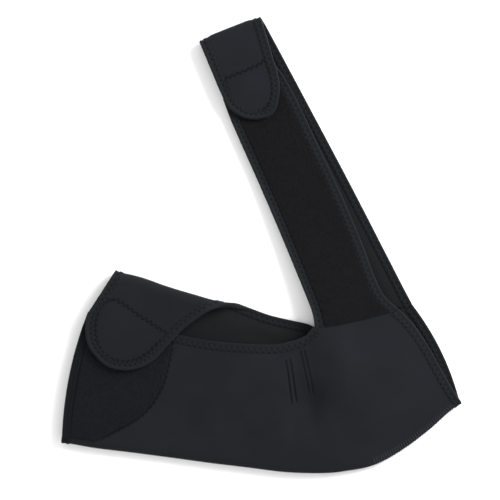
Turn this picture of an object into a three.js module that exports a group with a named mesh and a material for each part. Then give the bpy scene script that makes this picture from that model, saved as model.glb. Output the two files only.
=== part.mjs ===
import * as THREE from 'three';

// A shoulder brace of the arm sling kind, in neoprene, lying flat on its back wall.
// Millimetres, +Z up, the surface that it lies on is z = 0. X runs from the wrist to the elbow,
// Y from the pouch's bottom fold to the strap's top.

// Driving sizes of the pouch
const armLength = 397; // bottom, wrist corner to elbow corner
const armDepth = 126.8; // bottom fold to the middle of the front opening
const foldRoom = 2.1; // radius left free inside the wrist's bottom fold
const rimRise = 10; // front wall's highest edge, over its bottom fold
const puffHeight = 10; // front wall's fullness over the elbow
const edgeBow = 9; // wrist edge's bow out of a straight line
const flapReach = 95; // wrist flap, fold to round end
const flapLean = 32.8; // wrist flap's edge, degrees out of upright

// Driving sizes of the straps
const strapWidth = 70;
const frontStrapLength = 283; // seam to rounded end
const frontStrapLean = 23; // degrees out of upright
const foldPast = 33.5; // the back strap's fold at the top, past the front strap's end
const backStrapLean = 26.5;
const foldLean = 21.6; // the top fold's line, degrees out of level
const tabReach = 95; // fold to round end
const tabLean = 22.6;

// Driving sizes of the cloth
const sheet = 3; // neoprene
const pile = 1; // loop pile, and hook patches
const tape = 0.8; // binding tape
const tapeWidth = 7.5; // binding tape's reach over each face
const seat = 0.3; // gap left between pieces that lie on each other
const tapeSeat = 0.5; // gap left between tape and the cloth inside it
const seamGap = 0.8; // gap between sheets sewn edge to edge

// Sizes that follow
const half = sheet / 2;
const proud = tapeSeat + tape; // binding tape over the sheet's face
const wristFold = foldRoom + half + proud; // middle radius of the bottom fold at the wrist
const stack = sheet + 2 * pile + 3 * seat; // middle of a flap over the middle of what it lies on
const edgeHeight = half + proud; // a bound edge's middle, its tape on the table
const strapTop = 3 * edgeHeight + seat; // front strap's middle height under the tab
const flapHeight = edgeHeight + 2 * wristFold + stack; // wrist flap's middle height
const backStrapLength = frontStrapLength + foldPast; // seam to the fold
const tabRoll = (strapTop + stack - edgeHeight) / 2; // middle radius of the top fold
const legLength = backStrapLength - tabRoll; // back strap's way up to that fold

// How finely the cloth is laid out: steps between rows and columns
const wallRows = 6;
const rollRows = 6;
const flapRows = 4;
const flapColumns = 11;
const closeColumns = 5; // on each side of the flap's end, where its edge climbs
const openColumns = 6;
const elbowColumns = 8;
const strapRows = 8;
const strapColumns = 4;
const pileColumns = 5;
const hookRows = 4;

// Shares of the pouch's length
const flapEnd = 0.43; // where the flap's free edge meets the back opening edge
const flapClimb = 0.07; // how far to each side of its end the flap's edge climbs
const notch = 0.7; // where the openings end and the straps begin
const tapeTrim = 0.006; // how far before the notch the openings' tape ends
const bareFrom = flapEnd - 1.4 * flapClimb; // the back wall's top turns from a fold into an edge
const bareBy = flapEnd - 0.6 * flapClimb; // between these two
const seamTrim = 0.01; // left free by the elbow's tape at the seams
const foldTrim = 0.04; // and at the bottom fold
const strapFade = 0.04; // how far past the notch the back opening's lift fades
const rollAtEnd = 0.5; // the flap's roll at its end, as a share of the full roll

// Shares of a strap's length
const tapeStart = 0.03; // left free by its tape at the seam
const seamEase = 0.12; // over which the seam's shape fades into the strap's own

const table = (names, rows) =>
  rows.map((row) => Object.fromEntries(names.map((name, k) => [name, row[k]])));

// The pouch's sections from wrist to elbow. X in shares of armLength, Y in shares of armDepth over
// the lowest point, fold in shares of wristFold, rim of rimRise, puff of puffHeight, bows of edgeBow.
const sections = table(
  ['at', 'footY', 'frontX', 'frontY', 'backX', 'backY', 'fold', 'rim', 'puff', 'frontBow', 'backBow'],
  [
    [0, 0.246, 0.068, 1.262, 0.134, 1.57, 1, 0, 0, -0.6, -0.4],
    [0.076, 0.199, 0.141, 1.207, 0.194, 1.527, 1, 0, 0, -0.3, -0.2],
    [0.171, 0.16, 0.222, 1.141, 0.262, 1.453, 1, 0, 0, 0, 0],
    [0.272, 0.119, 0.302, 1.066, 0.332, 1.387, 1, 0, 0, 0, 0],
    [0.373, 0.077, 0.385, 1.02, 0.395, 1.332, 1.06, 0.12, 0.2, 0, 0],
    [0.474, 0.04, 0.469, 0.999, 0.458, 1.293, 1.1, 0.3, 0.35, 0, 0],
    [0.549, 0.013, 0.534, 0.996, 0.519, 1.226, 1.12, 0.4, 0.5, 0, 0],
    [0.61, 0.002, 0.574, 1.02, 0.574, 1.184, 1.1, 0.52, 0.62, 0, 0],
    [0.665, 0.002, 0.612, 1.066, 0.615, 1.156, 1.06, 0.66, 0.8, 0, 0],
    [0.7, 0.012, 0.637, 1.145, 0.642, 1.129, 1, 0.8, 0.9, 0, 0],
    [0.781, 0.062, 0.69, 1.179, 0.708, 1.179, 0.85, 1, 1, 0, 0],
    [0.854, 0.184, 0.741, 1.212, 0.766, 1.223, 0.7, 1, 0.9, 0.1, 0.1],
    [0.924, 0.348, 0.791, 1.251, 0.821, 1.265, 0.65, 0.95, 0.7, 0.4, 0.3],
    [0.965, 0.465, 0.816, 1.27, 0.851, 1.288, 0.65, 0.9, 0.5, 0.6, 0.4],
    [1, 0.551, 0.839, 1.285, 0.879, 1.309, 0.65, 0.85, 0.3, 0.9, 0.6],
  ],
);

// The wrist flap's free edge from its wrist corner round to the back opening edge. Across in
// shares of flapEnd, reach in shares of flapReach.
const flapEdge = table(
  ['at', 'across', 'reach'],
  [
    [0, 0, 0.51],
    [0.052, 0.032, 0.631],
    [0.109, 0.076, 0.749],
    [0.17, 0.139, 0.858],
    [0.23, 0.213, 0.932],
    [0.29, 0.297, 0.983],
    [0.35, 0.376, 1],
    [0.41, 0.464, 0.981],
    [0.46, 0.534, 0.937],
    [0.51, 0.589, 0.87],
    [0.555, 0.625, 0.775],
    [0.61, 0.648, 0.645],
    [0.66, 0.668, 0.513],
    [0.72, 0.694, 0.375],
    [0.8, 0.757, 0.205],
    [0.855, 0.805, 0.11],
    [0.905, 0.865, 0.045],
    [0.955, 0.935, 0.01],
    [1, 1, 0],
  ],
);

// Both straps and the tab: half widths to the left and right in shares of strapWidth, and the
// front strap's fall from its seam, 1, to the top, 0.
const frontStrapShape = table(
  ['at', 'left', 'right', 'fall'],
  [
    [0, -0.545, 0.56, 1],
    [0.04, -0.53, 0.475, 0.95],
    [0.1, -0.515, 0.455, 0.82],
    [0.23, -0.505, 0.479, 0.5],
    [0.42, -0.498, 0.482, 0.2],
    [0.6, -0.503, 0.457, 0],
    [0.77, -0.515, 0.43, 0],
    [0.86, -0.51, 0.4, 0],
    [0.93, -0.47, 0.34, 0],
    [1, -0.3, 0.14, 0],
  ],
);
const backStrapShape = table(
  ['at', 'left', 'right'],
  [
    [0, -0.65, 0.665],
    [0.05, -0.48, 0.655],
    [0.12, -0.37, 0.65],
    [0.4, -0.357, 0.635],
    [0.7, -0.357, 0.61],
    [1, -0.355, 0.572],
  ],
);
const tabEdge = table(
  ['at', 'across', 'reach'],
  [
    [0, 0, 0.555],
    [0.09, 0.012, 0.665],
    [0.17, 0.04, 0.755],
    [0.25, 0.105, 0.838],
    [0.33, 0.19, 0.912],
    [0.41, 0.305, 0.964],
    [0.49, 0.44, 0.99],
    [0.57, 0.57, 0.993],
    [0.65, 0.7, 0.947],
    [0.75, 0.8, 0.855],
    [0.86, 0.88, 0.73],
    [1, 0.93, 0.56],
  ],
);

// Patches. Along and across are shares of what they are sewn to, insets are in tape widths.
const wristPile = { top: 0.08, foot: 0.995, inset: 1.15 };
const strapPile = { top: 0.88, inset: 1.4 };
const wristHook = { start: [[0.14, 3.24], [0.56, 3.3]], end: [0.1, 0.62], inset: 1.3 };
const strapHook = { start: [[0.16, 1.17], [0.8, 1.17]], end: [0.06, 0.94], inset: 1.3 };
const pileEdge = table(
  ['at', 'across'],
  [
    [0, 0.28],
    [0.25, 0.285],
    [0.5, 0.27],
    [0.75, 0.2],
    [1, 0.08],
  ],
);

const { clamp, degToRad, lerp, smoothstep } = THREE.MathUtils;
const heading = (lean) => new THREE.Vector2(-Math.sin(degToRad(lean)), Math.cos(degToRad(lean)));
const range = (count) => Array.from({ length: count }, (_, k) => k);
const evenly = (count, from = 0, to = 1) => range(count + 1).map((k) => lerp(from, to, k / count));

// A smooth curve through one column of a table, at a share of its "at" column, straight past its ends.
function follow(rows, column, at) {
  const last = rows.length - 1;
  const past = at - clamp(at, rows[0].at, rows[last].at);
  let k = 0;
  while (k < last - 1 && at > rows[k + 1].at) k += 1;
  const slope = (row) => {
    const before = rows[Math.max(row - 1, 0)];
    const after = rows[Math.min(row + 1, last)];
    return (after[column] - before[column]) / (after.at - before.at);
  };
  const span = rows[k + 1].at - rows[k].at;
  const t = clamp((at - rows[k].at) / span, 0, 1);
  const rise = t * t * (3 - 2 * t);
  return lerp(rows[k][column], rows[k + 1][column], rise)
    + span * t * (1 - t) * (slope(k) * (1 - t) - slope(k + 1) * t)
    + past * slope(past < 0 ? 0 : last);
}

// How much an edge is lifted for the tape under it: all the way under the tape, fading inward.
const nearEdge = (distance) => 1 - smoothstep(distance, 1.8 * tapeWidth, 3.6 * tapeWidth);
const anyOf = (...shares) => 1 - shares.reduce((left, share) => left * (1 - share), 1);

// A sheet that turns over at a fold: it arrives in direction "arrive" at the fold line's point,
// rolls over with a radius and goes back in direction "leave". Travel is measured from the start
// of the roll.
function rollOver(foldPoint, arrive, leave, base, radius, travel) {
  const angle = Math.min(travel / radius, Math.PI);
  const plan = foldPoint.clone();
  if (angle < Math.PI / 2) plan.addScaledVector(arrive, radius * (Math.sin(angle) - 1));
  else plan.addScaledVector(leave, radius * (1 - Math.sin(angle)));
  plan.addScaledVector(leave, Math.max(travel - Math.PI * radius, 0));
  return new THREE.Vector3(plan.x, plan.y, base + radius * (1 - Math.cos(angle)));
}

// Travel over a roll at which the sheet has come back by a distance from its fold line.
const travelTo = (distance, radius) =>
  distance > radius
    ? (Math.PI - 1) * radius + distance
    : radius * (Math.PI - Math.asin(1 - distance / radius));

// The pouch's key points and sizes at a share of its length.
function section(at) {
  const column = (name) => follow(sections, name, at);
  const plan = (x, y) => new THREE.Vector2(x * armLength, y * armDepth);
  const foot = plan(at, column('footY'));
  const lip = plan(column('frontX'), column('frontY'));
  const backTop = plan(column('backX'), column('backY'));
  const ends = anyOf(nearEdge(at * armLength), nearEdge((1 - at) * armLength));
  const base = half + proud * ends;
  const frontHeight = edgeHeight + 2 * column('fold') * wristFold;
  const fold = (frontHeight - base) / 2;
  const open = smoothstep(at, bareFrom, bareBy) * (1 - smoothstep(at, notch, notch + strapFade));
  const rollBase = half + proud * anyOf(ends, open);
  const fullRoll = (flapHeight - rollBase) / 2;
  const roll = fullRoll * lerp(rollAtEnd, 1, smoothstep(flapEnd - at, 0, flapEnd - bareFrom));
  const rollAngle = (Math.PI / 2) * (1 - smoothstep(at, flapEnd, flapEnd + flapClimb));
  const up = backTop.clone().sub(foot).normalize();
  const down = foot.clone().sub(lip).normalize();
  const foldCentre = foot.clone().addScaledVector(down, -fold);
  const backEnd = backTop.clone().addScaledVector(up, -roll * Math.sin(rollAngle));
  return {
    lip, backEnd, up, down, foldCentre, base, frontHeight, fold, ends, open, roll, rollAngle,
    frontLength: lip.distanceTo(foldCentre),
    backLength: foldCentre.distanceTo(backEnd),
    rim: column('rim') * rimRise,
    puff: column('puff') * puffHeight,
    frontBow: column('frontBow') * edgeBow,
    backBow: column('backBow') * edgeBow,
  };
}

// A point a share of the way along a line that bows out to its left.
function bowed(from, to, share, bow) {
  const way = to.clone().sub(from);
  const left = new THREE.Vector2(-way.y, way.x).normalize();
  return from.clone().addScaledVector(way, share).addScaledVector(left, 4 * bow * share * (1 - share));
}

// The pouch's middle surface. Along runs from 0 at the front lip down the front wall to 1, round
// the bottom fold to 2, up the back wall to 3, and past 3 over the wrist flap's fold and down.
function pouch(at, along) {
  const s = section(at);
  if (along <= 1) {
    const plan = bowed(s.lip, s.foldCentre, along, s.frontBow);
    const rise = s.rim * (1 - smoothstep(along, 0, 1)) + 4 * s.puff * along * (1 - along);
    return new THREE.Vector3(plan.x, plan.y, s.frontHeight + rise);
  }
  if (along <= 2) {
    const angle = Math.PI * (along - 1);
    const plan = s.foldCentre.addScaledVector(s.down, s.fold * Math.sin(angle));
    return new THREE.Vector3(plan.x, plan.y, s.base + s.fold * (1 + Math.cos(angle)));
  }
  const travel = (along - 3) * s.backLength;
  const base = half + proud * anyOf(s.ends, nearEdge(-travel) * s.open);
  if (along <= 3) {
    const plan = bowed(s.foldCentre, s.backEnd, along - 2, -s.backBow);
    return new THREE.Vector3(plan.x, plan.y, base);
  }
  const foldPoint = s.backEnd.clone().addScaledVector(s.up, s.roll);
  return rollOver(foldPoint, s.up, heading(-flapLean).negate(), base, s.roll, travel);
}

// The sheet's free edge past the back wall: round the wrist flap, then along the back opening.
function pouchEdge(at) {
  if (at >= flapEnd) {
    const s = section(at);
    return [at, 3 + (s.roll * s.rollAngle) / s.backLength];
  }
  const across = flapEnd * follow(flapEdge, 'across', at / flapEnd);
  const s = section(across);
  const travel = travelTo(flapReach * Math.max(follow(flapEdge, 'reach', at / flapEnd), 0), s.roll);
  return [across, 3 + travel / s.backLength];
}

// Straight across in a surface's own shares from one point to another, with close rows over the
// roll that starts at "rollAt" and spans "rollSpan".
function rowsOver(from, to, rollAt, rollSpan) {
  const reach = to[1] - from[1];
  const curled = smoothstep((to[1] - rollAt) / rollSpan, 1, 2);
  return evenly(rollRows + flapRows).slice(1).map((even, k) => {
    const step = k + 1;
    const along = step <= rollRows
      ? rollAt + (rollSpan * step) / rollRows
      : lerp(rollAt + rollSpan, to[1], (step - rollRows) / flapRows);
    const share = lerp(even, (along - from[1]) / reach, curled);
    return [lerp(from[0], to[0], share), lerp(from[1], to[1], share)];
  });
}

// A surface's point, its slopes along both shares, and its outward normal.
function touch(surface, [p, q]) {
  const small = 1e-4;
  const point = surface(p, q);
  const slopeP = surface(p + small, q).sub(surface(p - small, q)).divideScalar(2 * small);
  const slopeQ = surface(p, q + small).sub(surface(p, q - small)).divideScalar(2 * small);
  return { point, slopeP, slopeQ, normal: slopeQ.clone().cross(slopeP).normalize() };
}

// The way into the cloth at an edge that runs from one point to another: the direction, and the
// shares that lie a reach of it inside the edge.
function wayIn(surface, shares, before, after, clothSide) {
  const { normal, slopeP, slopeQ } = touch(surface, shares);
  const run = surface(...after).sub(surface(...before));
  const inward = normal.clone().cross(run).normalize().multiplyScalar(clothSide);
  const [pp, pq, qq] = [slopeP.dot(slopeP), slopeP.dot(slopeQ), slopeQ.dot(slopeQ)];
  const [pi, qi] = [slopeP.dot(inward), slopeQ.dot(inward)];
  const scale = 1 / (pp * qq - pq * pq);
  const step = [(qq * pi - pq * qi) * scale, (pp * qi - pq * pi) * scale];
  return { inward, inside: (reach) => [shares[0] + step[0] * reach, shares[1] + step[1] * reach] };
}

// A stop on an edge: its shares, and the ones just before and after it. The edge is a function of
// one share from 0 to 1, or a list.
function edgeStop(edge, at) {
  const small = 0.002;
  return { shares: edge(at), before: edge(Math.max(at - small, 0)), after: edge(Math.min(at + small, 1)) };
}
const listStops = (list) => list.map((shares, k) => (
  { shares, before: list[Math.max(k - 1, 0)], after: list[Math.min(k + 1, list.length - 1)] }));

// The shares a reach inside a free edge.
function insideEdge(surface, edge, at, reach) {
  const { shares, before, after } = edgeStop(edge, at);
  return wayIn(surface, shares, before, after, 1).inside(reach);
}

function pouchColumn(at) {
  const s = section(at);
  const inset = tapeWidth / s.frontLength;
  const end = pouchEdge(at);
  const inner = (reach) =>
    at > 0 ? insideEdge(pouch, pouchEdge, at, reach) : [0, end[1] - reach / s.backLength];
  const margin = (2 * tapeWidth * smoothstep(at, bareFrom, flapEnd)) / s.backLength;
  const start = [at, 3 - margin];
  return [
    [at, 0],
    [at, inset / 2],
    ...evenly(wallRows, inset, 1).map((along) => [at, along]),
    ...evenly(rollRows, 1, 2).slice(1).map((along) => [at, along]),
    ...evenly(wallRows, 2, start[1]).slice(1).map((along) => [at, along]),
    ...rowsOver(start, inner(tapeWidth), 3, (Math.PI * s.roll) / s.backLength),
    inner(tapeWidth / 2),
    end,
  ];
}

// The front strap's middle surface, across 0 to 1 from its left edge, along 0 to 1 from its seam.
function frontStrap(across, along) {
  const up = heading(frontStrapLean);
  const right = new THREE.Vector2(up.y, -up.x);
  const seam = (share) => pouch(lerp(notch, 1, share), 0);
  const middle = seam(0.5);
  const place = (share) =>
    new THREE.Vector3(middle.x, middle.y, 0)
      .addScaledVector(new THREE.Vector3(up.x, up.y, 0), share * frontStrapLength)
      .addScaledVector(new THREE.Vector3(right.x, right.y, 0), strapWidth
        * lerp(follow(frontStrapShape, 'left', share), follow(frontStrapShape, 'right', share), across));
  const sewn = seam(across).add(new THREE.Vector3(up.x, up.y, 0).multiplyScalar(seamGap));
  const nearSeam = Math.max(1 - along / seamEase, 0) ** 2;
  const point = place(along).addScaledVector(sewn.clone().sub(place(0)), nearSeam);
  point.z = lerp(strapTop, sewn.z, follow(frontStrapShape, 'fall', along));
  return point;
}

// The back strap's middle surface, along 0 to 1 from its seam to the top fold's start, and past 1
// over the fold and down the tab.
function backStrap(across, along) {
  const up = heading(backStrapLean);
  const right = new THREE.Vector2(up.y, -up.x);
  const seam = (share) => {
    const edge = pouch(lerp(notch, 1, share), 3);
    return new THREE.Vector2(edge.x, edge.y);
  };
  const edges = [follow(backStrapShape, 'left', along), follow(backStrapShape, 'right', along)];
  const lean = Math.tan(degToRad(foldLean - backStrapLean)); // longer on its left, shorter on its right
  const place = (share, side) =>
    seam(0.5)
      .addScaledVector(up, share * (legLength + side * strapWidth * lean))
      .addScaledVector(right, side * strapWidth);
  const side = lerp(edges[0], edges[1], across);
  const lift = anyOf(
    nearEdge((side - edges[0]) * strapWidth),
    nearEdge((edges[1] - side) * strapWidth),
    nearEdge((1 - along) * legLength),
  );
  const base = half + proud * lift;
  if (along > 1) {
    const foldPoint = place(1, side).addScaledVector(up, tabRoll);
    return rollOver(foldPoint, up, heading(tabLean).negate(), base, tabRoll, (along - 1) * legLength);
  }
  const first = lerp(backStrapShape[0].left, backStrapShape[0].right, across);
  const sewn = seam(across).addScaledVector(up, seamGap);
  const plan = place(along, side);
  plan.addScaledVector(sewn.sub(place(0, first)), Math.max(1 - along / seamEase, 0) ** 2);
  return new THREE.Vector3(plan.x, plan.y, base);
}

function tabEnd(at) {
  const travel = travelTo(tabReach * follow(tabEdge, 'reach', at), tabRoll);
  return [follow(tabEdge, 'across', at), 1 + travel / legLength];
}

const strapSteps = [0, tapeStart, ...evenly(strapRows).slice(1)];

function backStrapColumn(across) {
  const end = tabEnd(across);
  const inner = (reach) => (across > 0 && across < 1
    ? insideEdge(backStrap, tabEnd, across, reach)
    : [end[0], end[1] - reach / legLength]);
  return [
    ...strapSteps.map((along) => [across, along]),
    ...rowsOver([across, 1], inner(tapeWidth), 1, (Math.PI * tabRoll) / legLength),
    inner(tapeWidth / 2),
    end,
  ];
}

function closedMesh(vertices, faces) {
  const geometry = new THREE.BufferGeometry().setFromPoints(vertices);
  geometry.setIndex(faces.flat());
  geometry.computeVertexNormals();
  return geometry;
}

// The cloth between two distances from a surface, over a grid of its shares.
function cloth(surface, grid, low, high) {
  const [columns, rows] = [grid.length, grid[0].length];
  const touched = grid.flat().map((shares) => touch(surface, shares));
  const at = (distance) => touched.map(({ point, normal }) => point.clone().addScaledVector(normal, distance));
  const count = touched.length;
  const faces = [];
  const quad = (a, b, c, d) => faces.push([a, b, c], [a, c, d]);
  for (let i = 0; i < columns - 1; i += 1) {
    for (let j = 0; j < rows - 1; j += 1) {
      const [a, b, c, d] = [i * rows + j, i * rows + j + 1, (i + 1) * rows + j + 1, (i + 1) * rows + j];
      quad(a, b, c, d);
      quad(count + c, count + b, count + a, count + d);
    }
  }
  const [down, across] = [range(rows), range(columns)];
  const rim = [
    ...down,
    ...across.slice(1).map((i) => i * rows + rows - 1),
    ...down.slice(0, -1).reverse().map((j) => (columns - 1) * rows + j),
    ...across.slice(1, -1).reverse().map((i) => i * rows),
  ];
  rim.forEach((a, k) => {
    const b = rim[(k + 1) % rim.length];
    quad(b, a, count + a, count + b);
  });
  return closedMesh([...at(high), ...at(low)], faces);
}

// Binding tape folded over a cloth's edge, through the stops of a route, with the cloth on its left,
// 1, or its right, -1, as seen from the outside. Its faces are split as the cloth's are.
function binding(surface, route, clothSide) {
  const stations = route.map(({ shares, before, after }) => {
    const edge = touch(surface, shares);
    const { inward, inside } = wayIn(surface, shares, before, after, clothSide);
    const inner = (reach) => touch(surface, inside(reach));
    const [middle, inmost] = [inner(tapeWidth / 2), inner(tapeWidth)];
    const ring = (face, nose) => {
      const over = ({ point, normal }, sign) => point.clone().addScaledVector(normal, sign * face);
      const out = (point, reach) => point.addScaledVector(inward, -reach);
      return [
        over(inmost, 1), over(middle, 1), out(over(edge, 1), tapeSeat),
        out(edge.point.clone(), nose),
        out(over(edge, -1), tapeSeat), over(middle, -1), over(inmost, -1),
      ];
    };
    return [...ring(half + proud, proud + seat / 2), ...ring(half + tapeSeat, tapeSeat).reverse()];
  });
  const size = stations[0].length;
  const faces = [];
  const quad = (a, b, c, d) => faces.push([a, b, c], [a, c, d]);
  stations.slice(1).forEach((_, k) => {
    for (let n = 0; n < size; n += 1) {
      const next = (n + 1) % size;
      const [a, b, c, d] = [k * size + n, k * size + next, (k + 1) * size + next, (k + 1) * size + n];
      if (n % (size / 2) < (size / 2 - 1) / 2) quad(a, b, c, d);
      else quad(b, c, d, a);
    }
  });
  const last = (stations.length - 1) * size;
  for (let n = 0; n < size / 2 - 1; n += 1) {
    const [a, b, c, d] = [n, n + 1, size - 2 - n, size - 1 - n];
    quad(d, c, b, a);
    quad(last + a, last + b, last + c, last + d);
  }
  if (clothSide < 0) faces.forEach((face) => face.reverse());
  return closedMesh(stations.flat(), faces);
}

const finishes = {
  neoprene: { color: '#27292e', roughness: 0.9, metalness: 0 },
  loopPile: { color: '#1d1d21', roughness: 1, metalness: 0 },
  hookTape: { color: '#1c1c1d', roughness: 0.8, metalness: 0 },
  bindingTape: { color: '#28292b', roughness: 0.85, metalness: 0 },
};

const brace = new THREE.Group();

function add(name, finish, geometry) {
  const mesh = new THREE.Mesh(geometry, new THREE.MeshStandardMaterial(finishes[finish]));
  mesh.name = name;
  brace.add(mesh);
}

const wristInset = (tapeWidth + 2 * seat) / armLength;
const lipStart = 1.3 * wristInset; // where the front opening's tape starts
const pouchColumns = [
  0, wristInset / 2, wristInset,
  ...evenly(flapColumns, wristInset, flapEnd - flapClimb).slice(1),
  ...evenly(closeColumns, flapEnd - flapClimb, flapEnd).slice(1),
  ...evenly(closeColumns, flapEnd, flapEnd + flapClimb).slice(1),
  ...evenly(openColumns, flapEnd + flapClimb, notch - tapeTrim).slice(1),
  ...evenly(elbowColumns, notch, 1),
];
const strapInset = tapeWidth / strapWidth;
const strapColumnShares = [0, ...evenly(strapColumns, strapInset, 1 - strapInset), 1];
const tabColumnShares = evenly(2 * strapColumns);

// A hook patch under a flap, from its start line to a reach inside the flap's free edge.
function hookPatch(surface, edge, patch, columns, edgeShare) {
  const [first, last] = patch.start;
  const grid = evenly(columns).map((share) => {
    const at = edgeShare * lerp(patch.end[0], patch.end[1], share);
    const end = insideEdge(surface, edge, at, patch.inset * tapeWidth);
    const start = [edgeShare * lerp(first[0], last[0], share), lerp(first[1], last[1], share)];
    return evenly(hookRows).map((reach) => [lerp(start[0], end[0], reach), lerp(start[1], end[1], reach)]);
  });
  return cloth(surface, grid, -half - seat - pile, -half - seat);
}

function addPouch() {
  add('arm_pouch', 'neoprene', cloth(pouch, pouchColumns.map(pouchColumn), -half, half));
  const pileRows = evenly(wallRows, wristPile.top, wristPile.foot);
  const pileGrid = evenly(pileColumns).map((share) => pileRows.map((along) =>
    [lerp(wristPile.inset * wristInset, follow(pileEdge, 'across', along), share), along]));
  add('wrist_loop_pile', 'loopPile', cloth(pouch, pileGrid, half + seat, half + seat + pile));
  add('wrist_hook_patch', 'hookTape', hookPatch(pouch, pouchEdge, wristHook, pileColumns, flapEnd));
}

function addPouchBindings() {
  const side = (at, from, to) => pouchColumn(at).filter(([, along]) => along >= from && along <= to);
  const columns = (from, to) => pouchColumns.filter((at) => at >= from && at <= to);
  const edges = (shares) => shares.map((at) => edgeStop(pouchEdge, at));
  const gap = seat / armDepth;
  const split = flapEnd + flapClimb;
  const splitGap = seat / armLength;
  add('wrist_binding', 'bindingTape', binding(pouch, listStops(side(0, 0, 3)), 1));
  add('flap_binding', 'bindingTape', binding(pouch, [
    ...listStops([[0, 3 + gap], ...side(0, 3 + 2 * gap, Infinity)]),
    ...edges(columns(wristInset / 2, split)),
  ], 1));
  add('back_opening_binding', 'bindingTape', binding(pouch, edges([
    split + splitGap, ...columns(split + 2 * splitGap, notch - tapeTrim),
  ]), 1));
  add('front_opening_binding', 'bindingTape', binding(pouch, listStops([
    lipStart, ...columns(2 * wristInset, notch - tapeTrim),
  ].map((at) => [at, 0])), -1));
  add('front_elbow_binding', 'bindingTape', binding(pouch, listStops(side(1, seamTrim, 1 - foldTrim)), -1));
  add('back_elbow_binding', 'bindingTape', binding(pouch, listStops(side(1, 2 + foldTrim, 3 - seamTrim)), -1));
}

function addFrontStrap() {
  const grid = strapColumnShares.map((across) => strapSteps.map((along) => [across, along]));
  add('front_strap', 'neoprene', cloth(frontStrap, grid, -half, half));
  const inset = strapPile.inset * strapInset;
  const facing = evenly(strapColumns, inset, 1 - inset).map((across) =>
    evenly(strapRows, tapeStart, strapPile.top).map((along) => [across, along]));
  add('strap_loop_pile', 'loopPile', cloth(frontStrap, facing, -half - seat - pile, -half - seat));
  add('front_strap_binding', 'bindingTape', binding(frontStrap, listStops([
    ...strapSteps.map((along) => [0, along]),
    ...strapColumnShares.slice(1, -1).map((across) => [across, 1]),
    ...strapSteps.slice(1).reverse().map((along) => [1, along]),
  ]), 1));
}

function addBackStrap() {
  add('back_strap', 'neoprene', cloth(backStrap, tabColumnShares.map(backStrapColumn), -half, half));
  add('strap_hook_patch', 'hookTape', hookPatch(backStrap, tabEnd, strapHook, strapColumns, 1));
  const side = (across) => backStrapColumn(across).slice(1);
  add('back_strap_binding', 'bindingTape', binding(backStrap, [
    ...listStops(side(0)),
    ...tabColumnShares.slice(1, -1).map((across) => edgeStop(tabEnd, across)),
    ...listStops(side(1).reverse()),
  ], 1));
}

addPouch();
addPouchBindings();
addFrontStrap();
addBackStrap();

// The middle of the bounding box's underside is the origin.
const box = new THREE.Box3().setFromObject(brace);
const centre = box.getCenter(new THREE.Vector3());
brace.position.set(-centre.x, -centre.y, -box.min.z);

export default brace;
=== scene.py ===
"""Looks of a neoprene arm sling that lies flat on its back wall, seen from straight above.

Every soft piece is worked out again from the sizes and sections that its solid has, on finer grids.
Lengths are millimetres until a mesh is made. X runs from the wrist to the elbow, Y from the pouch's
bottom fold to the top of the strap.
"""

import math

import bpy
import numpy as np
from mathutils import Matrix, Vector


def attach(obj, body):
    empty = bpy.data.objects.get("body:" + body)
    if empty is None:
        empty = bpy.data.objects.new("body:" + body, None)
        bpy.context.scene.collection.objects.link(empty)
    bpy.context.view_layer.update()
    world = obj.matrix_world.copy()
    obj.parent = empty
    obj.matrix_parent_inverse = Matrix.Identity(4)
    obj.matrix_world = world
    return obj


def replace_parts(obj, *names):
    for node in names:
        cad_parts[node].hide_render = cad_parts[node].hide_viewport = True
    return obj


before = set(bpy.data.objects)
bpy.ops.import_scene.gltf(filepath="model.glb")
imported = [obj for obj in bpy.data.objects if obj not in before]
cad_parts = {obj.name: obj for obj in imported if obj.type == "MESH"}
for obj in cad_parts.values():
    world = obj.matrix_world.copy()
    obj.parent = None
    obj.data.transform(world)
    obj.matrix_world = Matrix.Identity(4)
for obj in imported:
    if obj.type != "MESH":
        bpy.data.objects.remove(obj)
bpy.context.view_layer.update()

MM = 0.001
MIDDLE = np.array([198.2517, 226.9144, 0.0])  # middle of the brace's outline, in its own sizes
LOWEST = 0.02  # nothing lies lower, so that nothing cuts the floor
NEWTON_STEPS = 25
chance = np.random.default_rng(7)

# Sizes of the pouch
ARM_LENGTH = 397.0
ARM_DEPTH = 126.8
FOLD_ROOM = 2.1
RIM_RISE = 10.0
PUFF_HEIGHT = 10.0
EDGE_BOW = 9.0
FLAP_REACH = 95.0
FLAP_LEAN = 32.8

# Sizes of the straps
STRAP_WIDTH = 70.0
FRONT_STRAP_LENGTH = 283.0
FRONT_STRAP_LEAN = 23.0
BACK_STRAP_LENGTH = 319.0
BACK_STRAP_LEAN = 26.5
FOLD_LEAN = 21.6
TAB_REACH = 95.0
TAB_LEAN = 22.6

# Sizes of the cloth
SHEET = 3.0
PILE = 1.0
TAPE = 0.8
TAPE_WIDTH = 7.5
SEAT = 0.3
TAPE_SEAT = 0.5
SEAM_GAP = 0.1
HALF = SHEET / 2
PROUD = TAPE_SEAT + TAPE
WRIST_FOLD = FOLD_ROOM + HALF + PROUD
STACK = SHEET + 2 * PILE + 3 * SEAT
EDGE_HEIGHT = HALF + PROUD
STRAP_TOP = 3 * EDGE_HEIGHT + SEAT
FLAP_HEIGHT = EDGE_HEIGHT + 2 * WRIST_FOLD + STACK
TAB_ROLL = (STRAP_TOP + STACK - EDGE_HEIGHT) / 2
FOLD_CORNER = 2.4  # how far the top fold drops at its two rounded corners
STRAP_INSET = TAPE_WIDTH / STRAP_WIDTH
LEG_LENGTH = BACK_STRAP_LENGTH - TAB_ROLL
LIFT_FULL = 1.8 * TAPE_WIDTH  # this far from an edge the cloth is lifted for its tape
LIFT_GONE = 3.6 * TAPE_WIDTH
PILE_SKIN = 0.05  # between a patch and the cloth it is sewn to
PILE_TOP = SEAT + 0.5 * PILE  # the dense part of the pile, from which its loops stand up
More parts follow.
